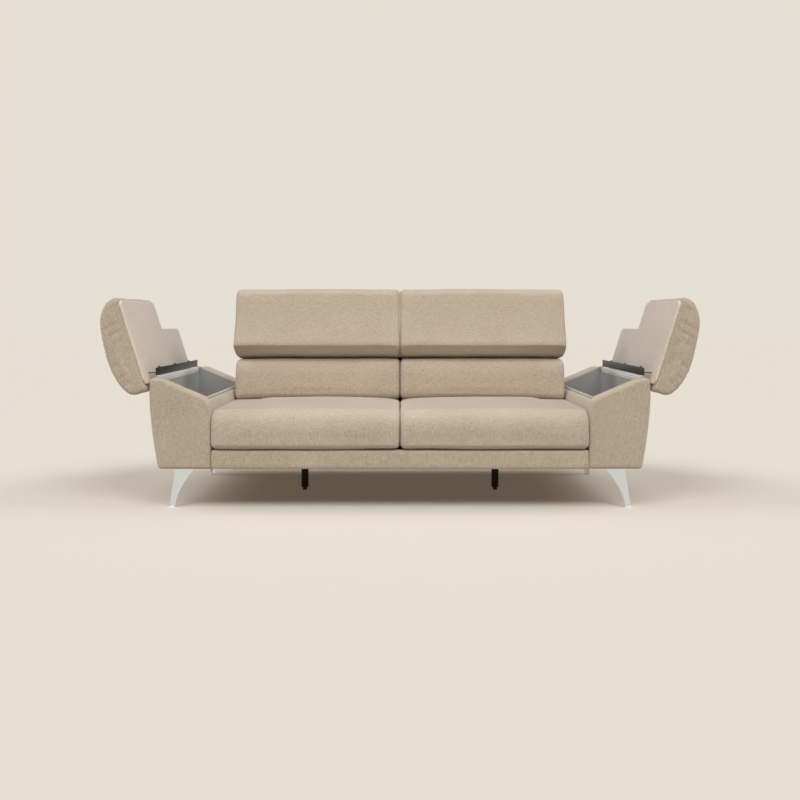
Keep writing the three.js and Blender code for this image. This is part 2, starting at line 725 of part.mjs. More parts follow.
// Back: a board behind the cushions, an upholstered rear panel and the cap between them
function buildBack() {
  const reach = halfInside - softGap;
  const boardReach = halfInside - lumbarSideGap;
  const boardBack = backBoardDepth + boardThick;
  add(sofa, 'back_board',
    block(-boardReach, boardReach, backBoardDepth, boardBack, frameTop + seatGap, backBoardHeight), timber);
  const inside = sofaDepth - backPanelThick;
  const capLow = backTopHeight - backEdgeRound;
  add(sofa, 'back_rear_panel',
    block(-reach, reach, inside, sofaDepth, baseHeight, capLow - seatGap), fabric);
  const cap = new THREE.Shape();
  cap.moveTo(backTopFront, backTopHeight - backPanelThick);
  cap.lineTo(backTopFront, backTopHeight);
  cap.lineTo(sofaDepth - backEdgeRound, backTopHeight);
  cap.quadraticCurveTo(sofaDepth, backTopHeight, sofaDepth, capLow);
  cap.lineTo(inside, capLow);
  cap.lineTo(inside, backTopHeight - backPanelThick);
  add(sofa, 'back_top_cap', extrudeAcross(cap, -reach, reach), fabric);
}

// Headrests, drawn about the pivot with Z up along the lean
function headrestCushion(x0, x1) {
  const outline = softOutline(headOutlineShares, headTall, headDeep, headOutlineSteps);
  const [start, end] = endStations(x0, x1, headEdgeRound);
  const middle = (x0 + x1) / 2;
  const swellAt = (x) => 1 - headCrownShare * ((x - middle) / (x1 - middle)) ** 2;
  const stations = [...start, (x0 + middle) / 2, middle, (middle + x1) / 2, ...end];
  const outlineAt = (x) => outline.map(({ x: up, y: out }) =>
    new THREE.Vector2(up, headBoardFront + (out - headBoardFront) * swellAt(x)));
  const rings = softRings(outlineAt, x0, x1, headEdgeRound, stations,
    (x, point) => new THREE.Vector3(x, -point.y, point.x));
  const behind = block(x0 - cutOverrun, x1 + cutOverrun, -headBoardFront - seatGap, headDeep,
    -headDeep, 2 * headTall);
  return cut(loft(rings), behind);
}

const headBoardFront = headDeep * headBoardShare;

// The fixed half of a ratchet: a toothed plate with its pin, on a foot screwed to the board
function ratchet(sign) {
  const shape = new THREE.Shape();
  const start = THREE.MathUtils.degToRad(toothStartAngle);
  const arc = THREE.MathUtils.degToRad(toothArcAngle);
  const point = (radius, angle) => [radius * Math.cos(angle), radius * Math.sin(angle)];
  shape.moveTo(...point(ratchetRadius, start));
  for (let i = 0; i < toothCount; i += 1) {
    shape.lineTo(...point(ratchetRadius + toothHeight, start + arc * (i / toothCount)));
    shape.lineTo(...point(ratchetRadius, start + arc * ((i + 1) / toothCount)));
  }
  shape.absarc(0, 0, ratchetRadius, start + arc, start + 2 * Math.PI, false);
  const [inner, outer] = [0, ratchetThick];
  const disc = extrudeAcross(shape, inner, outer);
  const pin = rod(ratchetPinRadius, 2 * ratchetThick + 2 * runGap).rotateZ(Math.PI / 2)
    .translate(ratchetThick + runGap, 0, 0);
  const footFront = backBoardDepth + boardThick + seatGap - headPivotDepth;
  const footTop = backBoardHeight - headPivotHeight;
  const footLow = footTop - ratchetFootHeight;
  const web = block(inner, outer, footFront, footFront + ratchetWebWidth, footLow, ratchetPinRadius);
  const foot = block(inner, outer + ratchetFootWidth, footFront, footFront + ratchetFootThick,
    footLow, footTop);
  return sided(join(disc, pin, web, foot), sign);
}

// The moving half: a plate on the pin, out to a flange on the headrest's board
function ratchetArm(sign) {
  const boardBack = headBoardFront - seatGap - headBoardThick - seatGap;
  const shape = new THREE.Shape();
  shape.moveTo(-boardBack, -armPlateWidth / 2);
  shape.absarc(0, 0, armPlateWidth / 2, -Math.PI / 2, Math.PI / 2, false);
  shape.lineTo(-boardBack, armFlangeTop);
  const inner = ratchetThick + runGap;
  const plate = extrudeAcross(shape, inner, inner + ratchetThick);
  const bore = rod(ratchetPinRadius + runGap, headDeep).rotateZ(Math.PI / 2);
  const flange = block(inner, inner + armFlangeWidth, -boardBack, -boardBack + ratchetFootThick,
    -armPlateWidth / 2, armFlangeTop);
  return sided(join(cut(plate, bore), flange), sign);
}

function buildHeadrests() {
  const lean = -THREE.MathUtils.degToRad(headLeanAngle);
  for (const { name, sign } of sides) {
    const [inner, outer] = [softGap / 2, halfInside + headSideGap];
    const x = sign > 0 ? [inner, outer] : [-outer, -inner];
    const fixed = new THREE.Group();
    fixed.position.set(0, headPivotDepth, headPivotHeight);
    const moving = new THREE.Group();
    moving.rotation.x = lean;
    fixed.add(moving);
    sofa.add(fixed);
    const boardFront = -headBoardFront;
    add(moving, `headrest_cushion_${name}`, headrestCushion(...x), fabric);
    add(moving, `headrest_board_${name}`, block(x[0] + headEdgeRound, x[1] - headEdgeRound,
      boardFront, boardFront + headBoardThick, -headBoardLow / 2, headBoardHigh), liningFabric);
    const places = [['inner', inner + ratchetInset, 1], ['outer', outer - ratchetInset, -1]];
    for (const [label, reach, hand] of places) {
      const pairs = [[fixed, 'ratchet', ratchet], [moving, 'ratchet_arm', ratchetArm]];
      for (const [parent, part, make] of pairs) {
        const geometry = make(hand * sign).translate(sign * reach, 0, 0);
        add(parent, `${part}_${label}_${name}`, geometry, blackSteel);
      }
    }
  }
}

// Legs: two blades that meet at the outer corner, from a small foot plate to the one under the arm
function leg(sign) {
  const top = baseHeight - seatGap;
  const plateBottom = top - legPlateThick;
  const blades = [...Array(legStationCount).keys()].map((i) => {
    const share = i / (legStationCount - 1);
    const z = legSoleThick + (plateBottom - legSoleThick) * share;
    const width = legFootWidth + (legTopWidth - legFootWidth) * share ** legTaperPower;
    const corners = [[0, 0], [-width, 0], [-width, legBladeThick], [-legBladeThick, legBladeThick],
      [-legBladeThick, width], [0, width]];
    return corners.map(([x, y]) => new THREE.Vector3(x + legLean * (1 - share), y, z));
  });
  const plate = (width, lip, edge, heights) => heights.map((z) => legPlateShares.map(([across, along]) =>
    new THREE.Vector3(edge + lip - across * width, along * width - lip, z)));
  const foot = plate(legFootWidth + 2 * legSoleLip, legSoleLip, legLean, [0, legSoleThick]);
  const head = plate(legPlateWidth, legPlateLip, 0, [plateBottom, top]);
  return sided(loft([...foot, ...blades, ...head]), sign);
}

function buildLegs() {
  const reach = halfInside + armWidth - armTaper - legCornerInset;
  for (const { name, sign } of sides) {
    for (const [end, depth, turn] of [['front', legFrontDepth, 1], ['rear', legRearDepth, -1]]) {
      const geometry = leg(sign);
      if (turn < 0) flip(geometry.scale(1, -1, 1));
      add(sofa, `leg_${end}_${name}`, geometry.translate(sign * reach, depth, 0), brightSteel);
    }
  }
}

function postPlateBlock(sign, spare, rise) {
  const x = sign * (halfInside - postInset);
  const y = middleRailDepth + middleRailWidth / 2;
  const half = postPlateWidth / 2 + spare;
  const top = frameBottom - seatGap;
  return block(x - half, x + half, y - half, y + half, top - postPlateThick - rise, top + rise);
}

function buildPosts() {
  for (const { name, sign } of sides) {
    const x = sign * (halfInside - postInset);
    const y = middleRailDepth + middleRailWidth / 2;
    const top = frameBottom - seatGap - postPlateThick / 2;
    const bottom = adjusterHeight + seatGap;
    const tube = rod(postRadius, top - bottom, 16).rotateX(Math.PI / 2).translate(x, y, (top + bottom) / 2);
    const bore = rod(studBore, 2 * (studLength + softGap)).rotateX(Math.PI / 2).translate(x, y, bottom);
    add(sofa, `centre_post_${name}`, cut(join(tube, postPlateBlock(sign, 0, 0)), bore), blackSteel);
    const pad = rod(adjusterRadius, adjusterHeight).rotateX(Math.PI / 2).translate(x, y, adjusterHeight / 2);
    const stud = rod(studRadius, studLength + adjusterHeight / 2).rotateX(Math.PI / 2)
      .translate(x, y, (adjusterHeight / 2 + studLength) / 2 + adjusterHeight / 2);
    add(sofa, `adjuster_foot_${name}`, join(pad, stud), blackPlastic);
  }
}

buildSeatFrame();
buildSeats();
buildBack();
buildHeadrests();
buildLegs();
buildPosts();
sides.forEach(buildArm);

// The origin stands on the floor under the middle of the whole sofa
const extent = new THREE.Box3().setFromObject(sofa);
sofa.position.y = -(extent.min.y + extent.max.y) / 2;

export default sofa;
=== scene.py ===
import math

import bmesh
import bpy
import numpy as np
from mathutils import Matrix, Vector, noise


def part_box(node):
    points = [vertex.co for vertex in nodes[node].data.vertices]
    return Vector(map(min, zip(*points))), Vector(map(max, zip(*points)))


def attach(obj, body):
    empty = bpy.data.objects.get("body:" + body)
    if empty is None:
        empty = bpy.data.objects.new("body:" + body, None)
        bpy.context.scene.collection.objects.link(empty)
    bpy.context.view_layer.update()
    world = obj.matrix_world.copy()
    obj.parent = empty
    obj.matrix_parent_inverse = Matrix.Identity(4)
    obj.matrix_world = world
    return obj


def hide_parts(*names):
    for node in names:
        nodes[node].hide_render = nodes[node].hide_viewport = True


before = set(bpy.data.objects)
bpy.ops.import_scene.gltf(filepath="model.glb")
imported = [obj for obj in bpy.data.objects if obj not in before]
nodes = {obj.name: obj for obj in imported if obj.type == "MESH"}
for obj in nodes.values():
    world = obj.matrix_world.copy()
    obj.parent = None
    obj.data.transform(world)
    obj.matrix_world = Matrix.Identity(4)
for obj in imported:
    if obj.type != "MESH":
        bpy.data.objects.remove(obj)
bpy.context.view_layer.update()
sides = {"right": 1, "left": -1}
print("frame loaded:", len(nodes), "nodes")


# Camera: level, at sitting height, with the frame shifted down to the sofa
cameraPlan = {"lens": 41.0, "sensor": 36.0, "distance": 3.8, "height": 0.789, "shiftY": -0.09875}
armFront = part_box("arm_front_right")[0].y
cameraData = bpy.data.cameras.new("camera")
cameraData.lens = cameraPlan["lens"]
cameraData.sensor_width = cameraPlan["sensor"]
cameraData.shift_y = cameraPlan["shiftY"]
camera = bpy.data.objects.new("camera", cameraData)
camera.location = (0, armFront - cameraPlan["distance"], cameraPlan["height"])
camera.rotation_euler = (math.radians(90), 0, 0)
bpy.context.collection.objects.link(camera)
bpy.context.scene.camera = camera
bpy.context.scene.view_settings.view_transform = "Standard"


# Shader sockets that take part in plain sums
class Wire:
    def __init__(self, tree, socket):
        self.tree = tree
        self.socket = socket

    def sum(self, operation, other, swap=False):
        pair = [other, self] if swap else [self, other]
        node = self.tree.nodes.new("ShaderNodeMath")
        node.operation = operation
        for slot, value in zip(node.inputs, pair):
            if isinstance(value, Wire):
                self.tree.links.new(value.socket, slot)
            else:
                slot.default_value = value
        return Wire(self.tree, node.outputs[0])

    def __add__(self, other):
        return self.sum("ADD", other)

    def __radd__(self, other):
        return self.sum("ADD", other, True)

    def __sub__(self, other):
        return self.sum("SUBTRACT", other)

    def __rsub__(self, other):
        return self.sum("SUBTRACT", other, True)

    def __mul__(self, other):
        return self.sum("MULTIPLY", other)

    def __rmul__(self, other):
        return self.sum("MULTIPLY", other, True)

    def __pow__(self, other):
        return self.sum("POWER", other)


# One material being put together: make() adds any node, and gives its first or its named output
class Finish:
    def __init__(self, name, **settings):
        self.material = bpy.data.materials.new(name)
        self.material.use_nodes = True
        self.tree = self.material.node_tree
        self.tree.nodes.clear()
        self.shader = self.tree.nodes.new("ShaderNodeBsdfPrincipled")
        out = self.tree.nodes.new("ShaderNodeOutputMaterial")
        self.tree.links.new(self.shader.outputs[0], out.inputs[0])
        for socket, value in settings.items():
            self.shader.inputs[socket.replace("_", " ")].default_value = value

    def make(self, kind, output=0, settings=None, stops=None, **values):
        node = self.tree.nodes.new("ShaderNode" + kind)
        for key, value in (settings or {}).items():
            setattr(node, key, value)
        if stops:
            ramp = node.color_ramp.elements
            while len(ramp) < len(stops):
                ramp.new(0.5)
            for element, (place, colour) in zip(ramp, stops):
                element.position = place
                element.color = colour
        for key, value in values.items():
            slot = node.inputs[int(key[1:]) if key[0] == "n" and key[1:].isdigit() else key.replace("_", " ")]
            if isinstance(value, Wire):
                self.tree.links.new(value.socket, slot)
            else:
                slot.default_value = value
        return Wire(self.tree, node.outputs[output])

    def place(self, scale=(1, 1, 1), turn=(0, 0, 0)):
        spot = self.make("TexCoord", "Object")
        return self.make("Mapping", Vector=spot, Scale=scale, Rotation=turn)

    def feed(self, **values):
        for key, value in values.items():
            self.tree.links.new(value.socket, self.shader.inputs[key.replace("_", " ")])
        return self.material


def linear(red, green, blue):
    parts = [v / 255 for v in (red, green, blue)]
    return tuple(v / 12.92 if v <= 0.04045 else ((v + 0.055) / 1.055) ** 2.4 for v in parts) + (1.0,)


# The sofa's cloth: two yarn directions crossed in a plain weave, of light and dark fibres spun together
clothPlan = {
    "dark": (167, 148, 126), "middle": (199, 182, 162), "light": (224, 209, 190), "stops": (0.33, 0.5, 0.67),
    "sheen": 0.7, "sheenRough": 0.45, "gloss": 0.15, "rough": 0.86, "roughSwing": 0.12,
    "pitch": 0.0018, "fleck": 520.0, "cloud": 4.0, "slubAcross": 430, "slubAlong": 48,
    "tone": {"fleck": 0.34, "warp": 0.38, "weft": 0.28, "weave": 0.03, "cloud": 0.1},
    "rise": {"weave": 0.6, "fleck": 0.4, "slub": 0.3}, "relief": 0.4, "depth": 0.0008,
}
liningPlan = dict(clothPlan, relief=0.3, dark=(198, 179, 159), middle=(230, 213, 196), light=(252, 239, 222))
threadPlan = dict(clothPlan, relief=0.25, dark=(162, 144, 123), middle=(189, 172, 151), light=(210, 195, 176),
                  fleck=700.0)


def clothFinish(name, plan):
    finish = Finish(name, Sheen_Weight=plan["sheen"], Sheen_Roughness=plan["sheenRough"],
                    Specular_IOR_Level=plan["gloss"])
    spot = finish.make("TexCoord", "Object")
    facing = finish.make("TexCoord", "Normal")
    turns = 2 * math.pi / plan["pitch"]
    split = finish.make("SeparateXYZ", Vector=spot).socket.node
    face = finish.make("SeparateXYZ", Vector=facing).socket.node
    yarn = [finish.make("Math", settings={"operation": "SINE"}, n0=Wire(finish.tree, s) * turns)
            for s in split.outputs]
    share = [Wire(finish.tree, s) ** 2 for s in face.outputs]
    weave = share[0] * yarn[1] * yarn[2] + share[1] * yarn[0] * yarn[2] + share[2] * yarn[0] * yarn[1]
    fleck = finish.make("TexNoise", "Fac", Vector=spot, Scale=plan["fleck"], Detail=2.0, Roughness=0.6)
    across, along = plan["slubAcross"], plan["slubAlong"]
    warp, weft = (finish.make("TexNoise", "Fac", Vector=finish.place(scale), Scale=1.0, Detail=2.0)
                  for scale in ((across, across, along), (along, across, across)))
    cloud = finish.make("TexNoise", "Fac", Vector=spot, Scale=plan["cloud"], Detail=2.0)
    tone, rise = plan["tone"], plan["rise"]
    mottle = (fleck * tone["fleck"] + warp * tone["warp"] + weft * tone["weft"] + weave * tone["weave"]
              + (cloud - 0.5) * tone["cloud"])
    colours = [linear(*plan[shade]) for shade in ("dark", "middle", "light")]
    colour = finish.make("ValToRGB", stops=list(zip(plan["stops"], colours)), Fac=mottle)
    height = weave * rise["weave"] + fleck * rise["fleck"] + warp * rise["slub"] + weft * rise["slub"]
    bump = finish.make("Bump", Height=height, Strength=plan["relief"], Distance=plan["depth"])
    rough = plan["rough"] + fleck * plan["roughSwing"]
    return finish.feed(Base_Color=colour, Roughness=rough, Normal=bump)


cloth = clothFinish("melangeCloth", clothPlan)
liningCloth = clothFinish("liningCloth", liningPlan)
threadCloth = clothFinish("threadCloth", threadPlan)


# Metal, moulding, bin lining and dust cloth: one colour with a fine grain and a slight mottling
grainPlan = {"fine": 0.7, "broad": 0.3, "broadScale": 7.0, "stops": (0.35, 0.65), "depth": 0.0006,
             "roughSwing": 0.12}


def grainFinish(name, colour, rough, grain, relief, spread, metal=0.0, stretch=(1, 1, 1)):
    finish = Finish(name, Metallic=metal)
    spot = finish.place(tuple(grain * s for s in stretch))
    fine = finish.make("TexNoise", "Fac", Vector=spot, Scale=1.0, Detail=4.0, Roughness=0.65)
    broad = finish.make("TexNoise", "Fac", Vector=finish.place(), Scale=grainPlan["broadScale"], Detail=2.0)
    mottle = fine * grainPlan["fine"] + broad * grainPlan["broad"]
    base = linear(*colour)
    low = tuple(v * (1 - spread) for v in base[:3]) + (1.0,)
    high = tuple(min(1.0, v * (1 + spread)) for v in base[:3]) + (1.0,)
    shade = finish.make("ValToRGB", stops=list(zip(grainPlan["stops"], (low, high))), Fac=mottle)
    bump = finish.make("Bump", Height=fine, Strength=relief, Distance=grainPlan["depth"])
    return finish.feed(Base_Color=shade, Roughness=rough + (fine - 0.5) * grainPlan["roughSwing"], Normal=bump)


# Colour, roughness, grain size, relief, spread of the tone, metal share and stretch of the grain
binLining = grainFinish("binLining", (176, 177, 176), 0.62, 900, 0.12, 0.05)
satinAluminium = grainFinish("satinAluminium", (240, 241, 240), 0.42, 300, 0.05, 0.04, 0.25, (4, 0.12, 4))
brightSteel = grainFinish("brightSteel", (226, 233, 240), 0.2, 420, 0.03, 0.03, 1.0, (1, 1, 0.08))
blackSteel = grainFinish("blackSteel", (34, 34, 34), 0.48, 1400, 0.2, 0.15, 0.3)
blackPlastic = grainFinish("blackPlastic", (20, 19, 19), 0.55, 1800, 0.25, 0.2)
springSteel = grainFinish("springSteel", (150, 153, 156), 0.34, 800, 0.1, 0.1, 1.0)
dustCloth = grainFinish("dustCloth", (36, 36, 37), 0.95, 1100, 0.6, 0.35)


# Planed softwood: growth rings cut lengthwise, with darker late wood
timberPlan = {
    "late": (168, 131, 84), "early": (214, 186, 140), "stops": (0.25, 0.75),
    "grain": (3.0, 26, 26), "poreGrain": (30, 700, 700), "drift": 1.2, "rings": 1.1, "waver": 6.0,
    "tone": {"rings": 0.45, "drift": 0.35, "pores": 0.2},
    "relief": 0.25, "depth": 0.0006, "rough": 0.62, "roughSwing": 0.2,
}


def timberFinish(name, plan):
    finish = Finish(name)
    spot = finish.place(plan["grain"])
    drift = finish.make("TexNoise", "Fac", Vector=spot, Scale=plan["drift"], Detail=3.0)
    rings = finish.make("TexWave", "Fac", settings={"wave_type": "BANDS", "bands_direction": "Z"},
                        Vector=spot, Scale=plan["rings"], Distortion=plan["waver"], Detail=2.0)
    pores = finish.make("TexNoise", "Fac", Vector=finish.place(plan["poreGrain"]), Scale=1.0, Detail=2.0)
    share = plan["tone"]
    tone = rings * share["rings"] + drift * share["drift"] + pores * share["pores"]
    colours = linear(*plan["late"]), linear(*plan["early"])
    shade = finish.make("ValToRGB", stops=list(zip(plan["stops"], colours)), Fac=tone)
    bump = finish.make("Bump", Height=pores, Strength=plan["relief"], Distance=plan["depth"])
    rough = plan["rough"] + pores * plan["roughSwing"]
    return finish.feed(Base_Color=shade, Roughness=rough, Normal=bump)


timber = timberFinish("timber", timberPlan)
print("finishes made")


# Mesh tools: the gaps under which loose corners are merged, and the bevel given to small panels
mergePlan = {"solid": 0.00003, "cord": 0.00001}
panelEdge = {"width": 0.004, "segments": 3}


def nodeCopy(*names):
    mesh = bmesh.new()
    for name in names:
        mesh.from_mesh(nodes[name].data)
    bmesh.ops.remove_doubles(mesh, verts=mesh.verts, dist=mergePlan["solid"])
    return mesh


def piece(name, mesh, finish, smooth=True):
    data = bpy.data.meshes.new(name)
    mesh.to_mesh(data)
    mesh.free()
    item = bpy.data.objects.new(name, data)
    bpy.context.collection.objects.link(item)
    data.materials.clear()
    data.materials.append(finish)
    data.polygons.foreach_set("material_index", [0] * len(data.polygons))
    data.polygons.foreach_set("use_smooth", [smooth] * len(data.polygons))
    return item


def settle(item, body, slot, *stoodFor):
    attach(item, body)
    if stoodFor:
        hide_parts(*stoodFor)
    return item


# Adds modifiers one after another and keeps what they make
def shaped(item, *modifiers):
    for kind, settings in modifiers:
        modifier = item.modifiers.new(kind.lower(), kind)
        for key, value in settings.items():
            setattr(modifier, key, value)
    graph = bpy.context.evaluated_depsgraph_get()
    made = bpy.data.meshes.new_from_object(item.evaluated_get(graph))
    item.modifiers.clear()
    old, item.data = item.data, made
    bpy.data.meshes.remove(old)
    item.data.name = item.name
    item.data.polygons.foreach_set("use_smooth", [True] * len(item.data.polygons))
    return item


def corners(item):
    return np.array([tuple(v.co) for v in item.data.vertices])


def moveTo(item, places):
    item.data.vertices.foreach_set("co", places.astype(np.float32).ravel())
    item.data.update()


def facings(item):
    flat = np.zeros(len(item.data.vertices) * 3)
    item.data.vertices.foreach_get("normal", flat)
    return flat.reshape(-1, 3)


# Stretches a piece so that it fills its room from side to side
def fitRoom(item, low, high):
    places = corners(item)
    least, most = places.min(axis=0), places.max(axis=0)
    low, high = np.array(low), np.array(high)
    moveTo(item, low + (places - least) * (high - low) / (most - least))


# Pushes a piece past its room at its two ends and trims it there, for ends that press on what is beside them
def blunted(item, amounts, low, high):
    inner, outer = amounts
    fitRoom(item, low - Vector((inner, 0, 0)), high + Vector((outer, 0, 0)))
    mesh = bmesh.new()
    mesh.from_mesh(item.data)
    for reach, facing in ((low.x, -1), (high.x, 1)):
        everything = mesh.verts[:] + mesh.edges[:] + mesh.faces[:]
        cut = bmesh.ops.bisect_plane(mesh, geom=everything, plane_co=(reach, 0, 0), plane_no=(facing, 0, 0),
                                     clear_outer=True)
        rim = [part for part in cut["geom_cut"] if isinstance(part, bmesh.types.BMEdge)]
        bmesh.ops.edgeloop_fill(mesh, edges=rim)
    mesh.to_mesh(item.data)
    mesh.free()


# Rolls a pad's upper front edge over in one broad curve, squarer for a higher power
def rolledFront(item, drop, reach, power):
    places = corners(item)
    low, high = places.min(axis=0), places.max(axis=0)
    share = (1 - (places[:, 1] - low[1]) / reach).clip(0, 1)
    fall = drop * (1 - (1 - share ** power) ** (1 / power))
    places[:, 2] = low[2] + (places[:, 2] - low[2]) * (1 - fall / (high[2] - low[2]))
    moveTo(item, places)


# Leans a pad back: its foot comes forward by the amount and its top stays
def leant(item, amount):
    places = corners(item)
    low, high = places.min(axis=0), places.max(axis=0)
    foot = (high[2] - places[:, 2]) / (high[2] - low[2])
    ahead = (high[1] - places[:, 1]) / (high[1] - low[1])
    places[:, 1] -= amount * foot * ahead
    moveTo(item, places)


# Cuts a roll's underside back below a level, most in the front part, which leaves a crease along its front
def undercut(item, level, slope, front):
    places = corners(item)
    low, high = places.min(axis=0), places.max(axis=0)
    ahead = (front * (high[1] - places[:, 1]) / (high[1] - low[1])).clip(0, 1)
    places[:, 1] += slope * (level - places[:, 2]).clip(0) * ahead
    moveTo(item, places)


# Fills a pad's outer end out, up and down, where it presses on what is beside it
def fullEnd(item, up, down, reach):
    places = corners(item)
    low, high = places.min(axis=0), places.max(axis=0)
    share = (1 - (high[0] - places[:, 0]) / reach).clip(0, 1)
    rise = (places[:, 2] - low[2]) / (high[2] - low[2])
    places[:, 2] += (up * rise - down * (1 - rise)) * share ** 2 * (3 - 2 * share)
    moveTo(item, places)


# Holds a pad's top under a line of heights across it, where a closed lid comes down over it
def heldUnder(item, heights, ease):
    places = corners(item)
    limit = np.interp(places[:, 0], *zip(*heights))
    safe = 30  # keeps the exponential small enough far above the line
    places[:, 2] -= ease * np.log1p(np.exp(((places[:, 2] - limit) / ease).clip(-safe, safe)))
    moveTo(item, places)


# Rebuilds a piece in even small faces and rounds its edges
def remeshed(item, plan):
    return shaped(item, ("REMESH", {"mode": "VOXEL", "voxel_size": plan["voxel"]}),
                  ("SMOOTH", {"factor": 0.5, "iterations": plan["soften"]}))


# A filled cover: remeshed finely, drawn in a little, then blown up as cloth under pressure.
# Only what swells outward counts, up to the cap and not toward a board, and the piece fills its room again
puffPlan = {"quality": 4, "frames": 20, "pressure": 4.0, "smooth": 3, "flatShare": 1.5}


def filled(item, plan, low, high):
    low, high = Vector(low), Vector(high)
    if "blunt" in plan:
        blunted(item, plan["blunt"], low, high)
    remeshed(item, plan)
    fitRoom(item, low, high)
    if "roll" in plan:
        rolledFront(item, *plan["roll"])
    start = corners(item)
    outward = facings(item)
    moveTo(item, start - outward * plan["tuck"])
    puff = item.modifiers.new("puff", "CLOTH")
    puff.settings.quality = puffPlan["quality"]
    puff.settings.tension_stiffness = plan["stretch"]
    puff.settings.compression_stiffness = plan["stretch"]
    puff.settings.bending_stiffness = plan["bend"]
    puff.settings.use_pressure = True
    puff.settings.uniform_pressure_force = puffPlan["pressure"]
    puff.settings.effector_weights.gravity = 0
    puff.collision_settings.use_collision = False
    puff.point_cache.frame_start = 1
    puff.point_cache.frame_end = puffPlan["frames"]
    for step in range(1, puffPlan["frames"] + 1):
        bpy.context.scene.frame_set(step)
    shaped(item)
    bpy.context.scene.frame_set(1)
    travel = corners(item) - start
    swell = np.clip((travel * outward).sum(axis=1, keepdims=True), 0, plan["cap"])
    if "flat" in plan:
        swell *= 1 - (puffPlan["flatShare"] * outward @ np.array(plan["flat"])[:, None]).clip(0, 1)
    moveTo(item, start + outward * swell)
    shaped(item, ("SMOOTH", {"factor": 0.5, "iterations": puffPlan["smooth"]}),
           ("SUBSURF", {"levels": 1, "render_levels": 1}))
    fitRoom(item, low, high)
    return item


# Slow unevenness of hand-filled upholstery, different on each piece and on each side
seedSteps = (7.3, 3.1, 5.7)


def uneven(item, plan, side=0):
    seed = plan["seed"] + side
    shift = Vector([seed * step for step in seedSteps])
    places = corners(item)
    lift = np.array([noise.noise(Vector(p) / plan["unevenSize"] + shift) for p in places])
    moveTo(item, places + facings(item) * (lift * plan["uneven"])[:, None])


# Folds in the cloth: lines across the face that looks one way, each with a width and a depth
def folded(item, folds, toward):
    places, outward = corners(item), facings(item)
    toward = np.array(toward, dtype=float)
    press = np.zeros(len(places))
    for start, end, width, depth in folds:
        start, run = np.array(start), np.array(end) - np.array(start)
        share = ((places - start) @ run / (run @ run)).clip(0, 1)
        aside = (places - start - share[:, None] * run) * (1 - np.abs(toward))
        press += depth * np.sin(math.pi * share) * np.exp(-(np.linalg.norm(aside, axis=1) / width) ** 2)
    press *= (outward @ toward).clip(0, 1)
    moveTo(item, places - outward * press[:, None])


# A sewn seam where a plane cuts the cover: the cloth dips to it and puckers a little beside it
endSeam = {"width": 0.005, "depth": 0.003, "pucker": 0.0004, "puckerReach": 3, "ripple": (290.0, 330.0, 310.0),
           "cord": 0.0014, "spacing": 0.012}


def seamed(item, point, normal, plan):
    places, outward = corners(item), facings(item)
    away = (places - np.array(point)) @ np.array(normal)
    ripple = np.sin(places @ np.array(plan["ripple"]))
    press = (plan["depth"] * np.exp(-(away / plan["width"]) ** 2)
             + plan["pucker"] * ripple * np.exp(-(away / (plan["puckerReach"] * plan["width"])) ** 2))
    moveTo(item, places - outward * press[:, None])


# The left piece made from the right one, turned right side out again
def mirrored(item):
    mesh = bmesh.new()
    mesh.from_mesh(item.data)
    bmesh.ops.scale(mesh, vec=(-1, 1, 1), verts=mesh.verts)
    bmesh.ops.reverse_faces(mesh, faces=mesh.faces)
    return piece(item.name.replace("Right", "Left"), mesh, item.data.materials[0])


def bothSides(right):
    return ("right", right), ("left", mirrored(right))


# The closed line where a plane cuts a piece, as evenly spaced points that start at the same corner each run
def sliceLine(item, point, normal, spacing):
    mesh = bmesh.new()
    mesh.from_mesh(item.data)
    bmesh.ops.bisect_plane(mesh, geom=mesh.verts[:] + mesh.edges[:] + mesh.faces[:], plane_co=point,
                           plane_no=normal, clear_inner=True, clear_outer=True)
    bmesh.ops.delete(mesh, geom=mesh.faces[:], context="FACES_ONLY")
    lines = []
    left = set(mesh.verts)
    for at in mesh.verts:
        if at not in left:
            continue
        left.discard(at)
        line = [at.co.copy()]
        while True:
            step = next((e.other_vert(at) for e in at.link_edges if e.other_vert(at) in left), None)
            if step is None:
                break
            left.discard(step)
            line.append(step.co.copy())
            at = step
        lines.append(line)
    mesh.free()
    line = max(lines, key=len)
    return evenly(line + line[:1], spacing)


def evenly(line, spacing):
    points = np.array([tuple(p) for p in line])
    steps = np.linalg.norm(np.diff(points, axis=0), axis=1)
    along = np.concatenate([[0], np.cumsum(steps)])
    count = max(3, round(along[-1] / spacing))
    marks = np.linspace(0, along[-1], count, endpoint=False)
    return [Vector(p) for p in np.stack([np.interp(marks, along, points[:, i]) for i in range(3)], axis=1)]


# A line through points, its corners rounded
def softLine(points, radius, steps=5):
    points = [Vector(p) for p in points]
    line = [points[0]]
    for before, at, after in zip(points, points[1:], points[2:]):
        start = at + (before - at).normalized() * radius
        end = at + (after - at).normalized() * radius
        for step in range(steps + 1):
            share = step / steps
            line.append(start.lerp(at, share).lerp(at.lerp(end, share), share))
    return line + [points[-1]]


